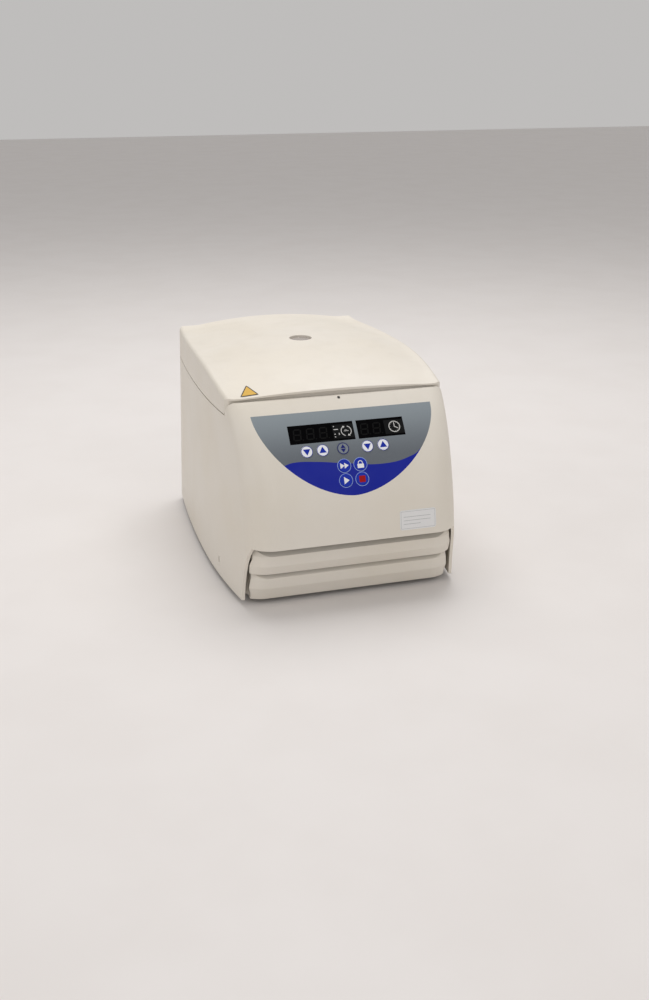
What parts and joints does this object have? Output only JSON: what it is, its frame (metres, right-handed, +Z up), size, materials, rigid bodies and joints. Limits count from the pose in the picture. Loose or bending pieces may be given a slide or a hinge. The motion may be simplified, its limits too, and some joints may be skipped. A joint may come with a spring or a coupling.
{
  "type": "laboratory centrifuge",
  "caption": "Benchtop laboratory microcentrifuge with a hinged crowned lid, viewing port, curved control panel and angle rotor.",
  "frame": {"origin": "middle of the footprint, on the bench under the feet", "axes": "+Z up, the control panel faces -Y, +X to the right of a person facing the panel"},
  "size_m": [0.243, 0.352, 0.2251],
  "materials": {
    "casing": "fine satin texture",
    "tray": "plain moulded",
    "rubber": "matt",
    "gasket": "matt",
    "steel": "turned",
    "bowl_steel": "spun",
    "bracket_steel": "zinc and paint",
    "motor_alloy": "cast",
    "lamination": "laminated",
    "rotor_alloy": "machined",
    "rotor_lid_alloy": "machined",
    "knob_plastic": "moulded",
    "foil": "printed polyester, grey over blue",
    "smoked_window": "smoked, glossy",
    "display_module": "plain",
    "circuit_board": "solder mask",
    "label": "printed label, blank",
    "liner": "moulded",
    "port_glass": "clear, slightly smoked",
    "hinge_alloy": "zinc die casting",
    "spring_steel": "oiled",
    "latch_plastic": "glass-filled",
    "brass": "plain",
    "panel_metal": "powder coat",
    "black_plastic": "moulded",
    "rocker_plastic": "moulded",
    "key_white": "printed",
    "key_grey": "printed",
    "key_blue": "printed",
    "key_red": "printed"
  },
  "bodies": {
    "root": {"housing_shell": "casing", "front_grille": "casing", "base_tray": "tray", "feet": "rubber", "motor_mounts": "rubber", "chamber_gasket": "gasket", "lid_bumpers": "rubber", "foot_screws": "steel", "panel_screws": "steel", "chamber_bowl": "bowl_steel", "motor_bracket": "bracket_steel", "motor_housing": "motor_alloy", "motor_stator": "lamination", "motor_bearings": "steel", "panel_foil": "foil", "display_windows": "smoked_window", "display_modules": "display_module", "control_board": "circuit_board", "blank_label": "label", "hinge_brackets": "hinge_alloy", "hinge_pin": "steel", "lid_springs": "spring_steel", "latch_housing": "latch_plastic", "latch_pin": "steel", "latch_motor": "motor_alloy", "power_board": "circuit_board", "board_standoffs": "brass", "rear_panel": "panel_metal", "mains_inlet": "black_plastic", "switch_frame": "black_plastic"},
    "lid": {"lid_shell": "casing", "lid_liner": "liner", "lid_screws": "steel", "port_tube": "liner", "port_window": "port_glass", "lid_striker": "steel", "hinge_arms": "hinge_alloy"},
    "rotor": {"rotor": "rotor_alloy", "rotor_lid": "rotor_lid_alloy", "drive_shaft": "steel", "motor_armature": "lamination"},
    "rotor_knob": {"rotor_knob": "knob_plastic"},
    "power_rocker": {"power_rocker": "rocker_plastic"},
    "fuse_drawer": {"fuse_drawer": "black_plastic"},
    "latch_hook": {"latch_hook": "steel"},
    "key_speed_down": {"key_speed_down": "key_white"},
    "key_speed_up": {"key_speed_up": "key_white"},
    "key_mode": {"key_mode": "key_grey"},
    "key_time_down": {"key_time_down": "key_white"},
    "key_time_up": {"key_time_up": "key_white"},
    "key_quick_run": {"key_quick_run": "key_blue"},
    "key_open": {"key_open": "key_blue"},
    "key_start": {"key_start": "key_blue"},
    "key_stop": {"key_stop": "key_red"}
  },
  "joints": [
    {"name": "lid_hinge", "type": "hinge", "parent": "root", "child": "lid", "pos_m": [0, 0.169, 0.176], "axis": [-1, 0, 0], "range_deg": [0, 75]},
    {"name": "rotor_spin", "type": "hinge", "parent": "root", "child": "rotor", "pos_m": [0, 0.0287, 0.1], "axis": [0, 0, 1], "continuous": true},
    {"name": "rotor_knob_turn", "type": "hinge", "parent": "rotor", "child": "rotor_knob", "pos_m": [0, 0.0287, 0.16], "axis": [0, 0, 1], "range_deg": [0, 90]},
    {"name": "power_rocker_tilt", "type": "hinge", "parent": "root", "child": "power_rocker", "pos_m": [-0.018, 0.168, 0.048], "axis": [-1, 0, 0], "range_deg": [0, 16]},
    {"name": "fuse_drawer_slide", "type": "slide", "parent": "root", "child": "fuse_drawer", "axis": [0, 1, 0], "range_m": [0, 0.016]},
    {"name": "latch_hook_swing", "type": "hinge", "parent": "root", "child": "latch_hook", "pos_m": [0, -0.098, 0.147], "axis": [-1, 0, 0], "range_deg": [0, 20]},
    {"name": "key_speed_down_press", "type": "slide", "parent": "root", "child": "key_speed_down", "axis": [0, 0.8298, -0.5581], "range_m": [0, 0.0004], "stiffness_N_per_m": 3000, "springref_m": -0.0002},
    {"name": "key_speed_up_press", "type": "slide", "parent": "root", "child": "key_speed_up", "axis": [0, 0.8298, -0.5581], "range_m": [0, 0.0004], "stiffness_N_per_m": 3000, "springref_m": -0.0002},
    {"name": "key_mode_press", "type": "slide", "parent": "root", "child": "key_mode", "axis": [0, 0.8298, -0.5581], "range_m": [0, 0.0004], "stiffness_N_per_m": 3000, "springref_m": -0.0002},
    {"name": "key_time_down_press", "type": "slide", "parent": "root", "child": "key_time_down", "axis": [0, 0.8298, -0.5581], "range_m": [0, 0.0004], "stiffness_N_per_m": 3000, "springref_m": -0.0002},
    {"name": "key_time_up_press", "type": "slide", "parent": "root", "child": "key_time_up", "axis": [0, 0.8298, -0.5581], "range_m": [0, 0.0004], "stiffness_N_per_m": 3000, "springref_m": -0.0002},
    {"name": "key_quick_run_press", "type": "slide", "parent": "root", "child": "key_quick_run", "axis": [0, 0.8801, -0.4748], "range_m": [0, 0.0004], "stiffness_N_per_m": 3000, "springref_m": -0.0002},
    {"name": "key_open_press", "type": "slide", "parent": "root", "child": "key_open", "axis": [0, 0.8801, -0.4748], "range_m": [0, 0.0004], "stiffness_N_per_m": 3000, "springref_m": -0.0002},
    {"name": "key_start_press", "type": "slide", "parent": "root", "child": "key_start", "axis": [0, 0.916, -0.4011], "range_m": [0, 0.0004], "stiffness_N_per_m": 3000, "springref_m": -0.0002},
    {"name": "key_stop_press", "type": "slide", "parent": "root", "child": "key_stop", "axis": [0, 0.916, -0.4011], "range_m": [0, 0.0004], "stiffness_N_per_m": 3000, "springref_m": -0.0002}
  ]
}
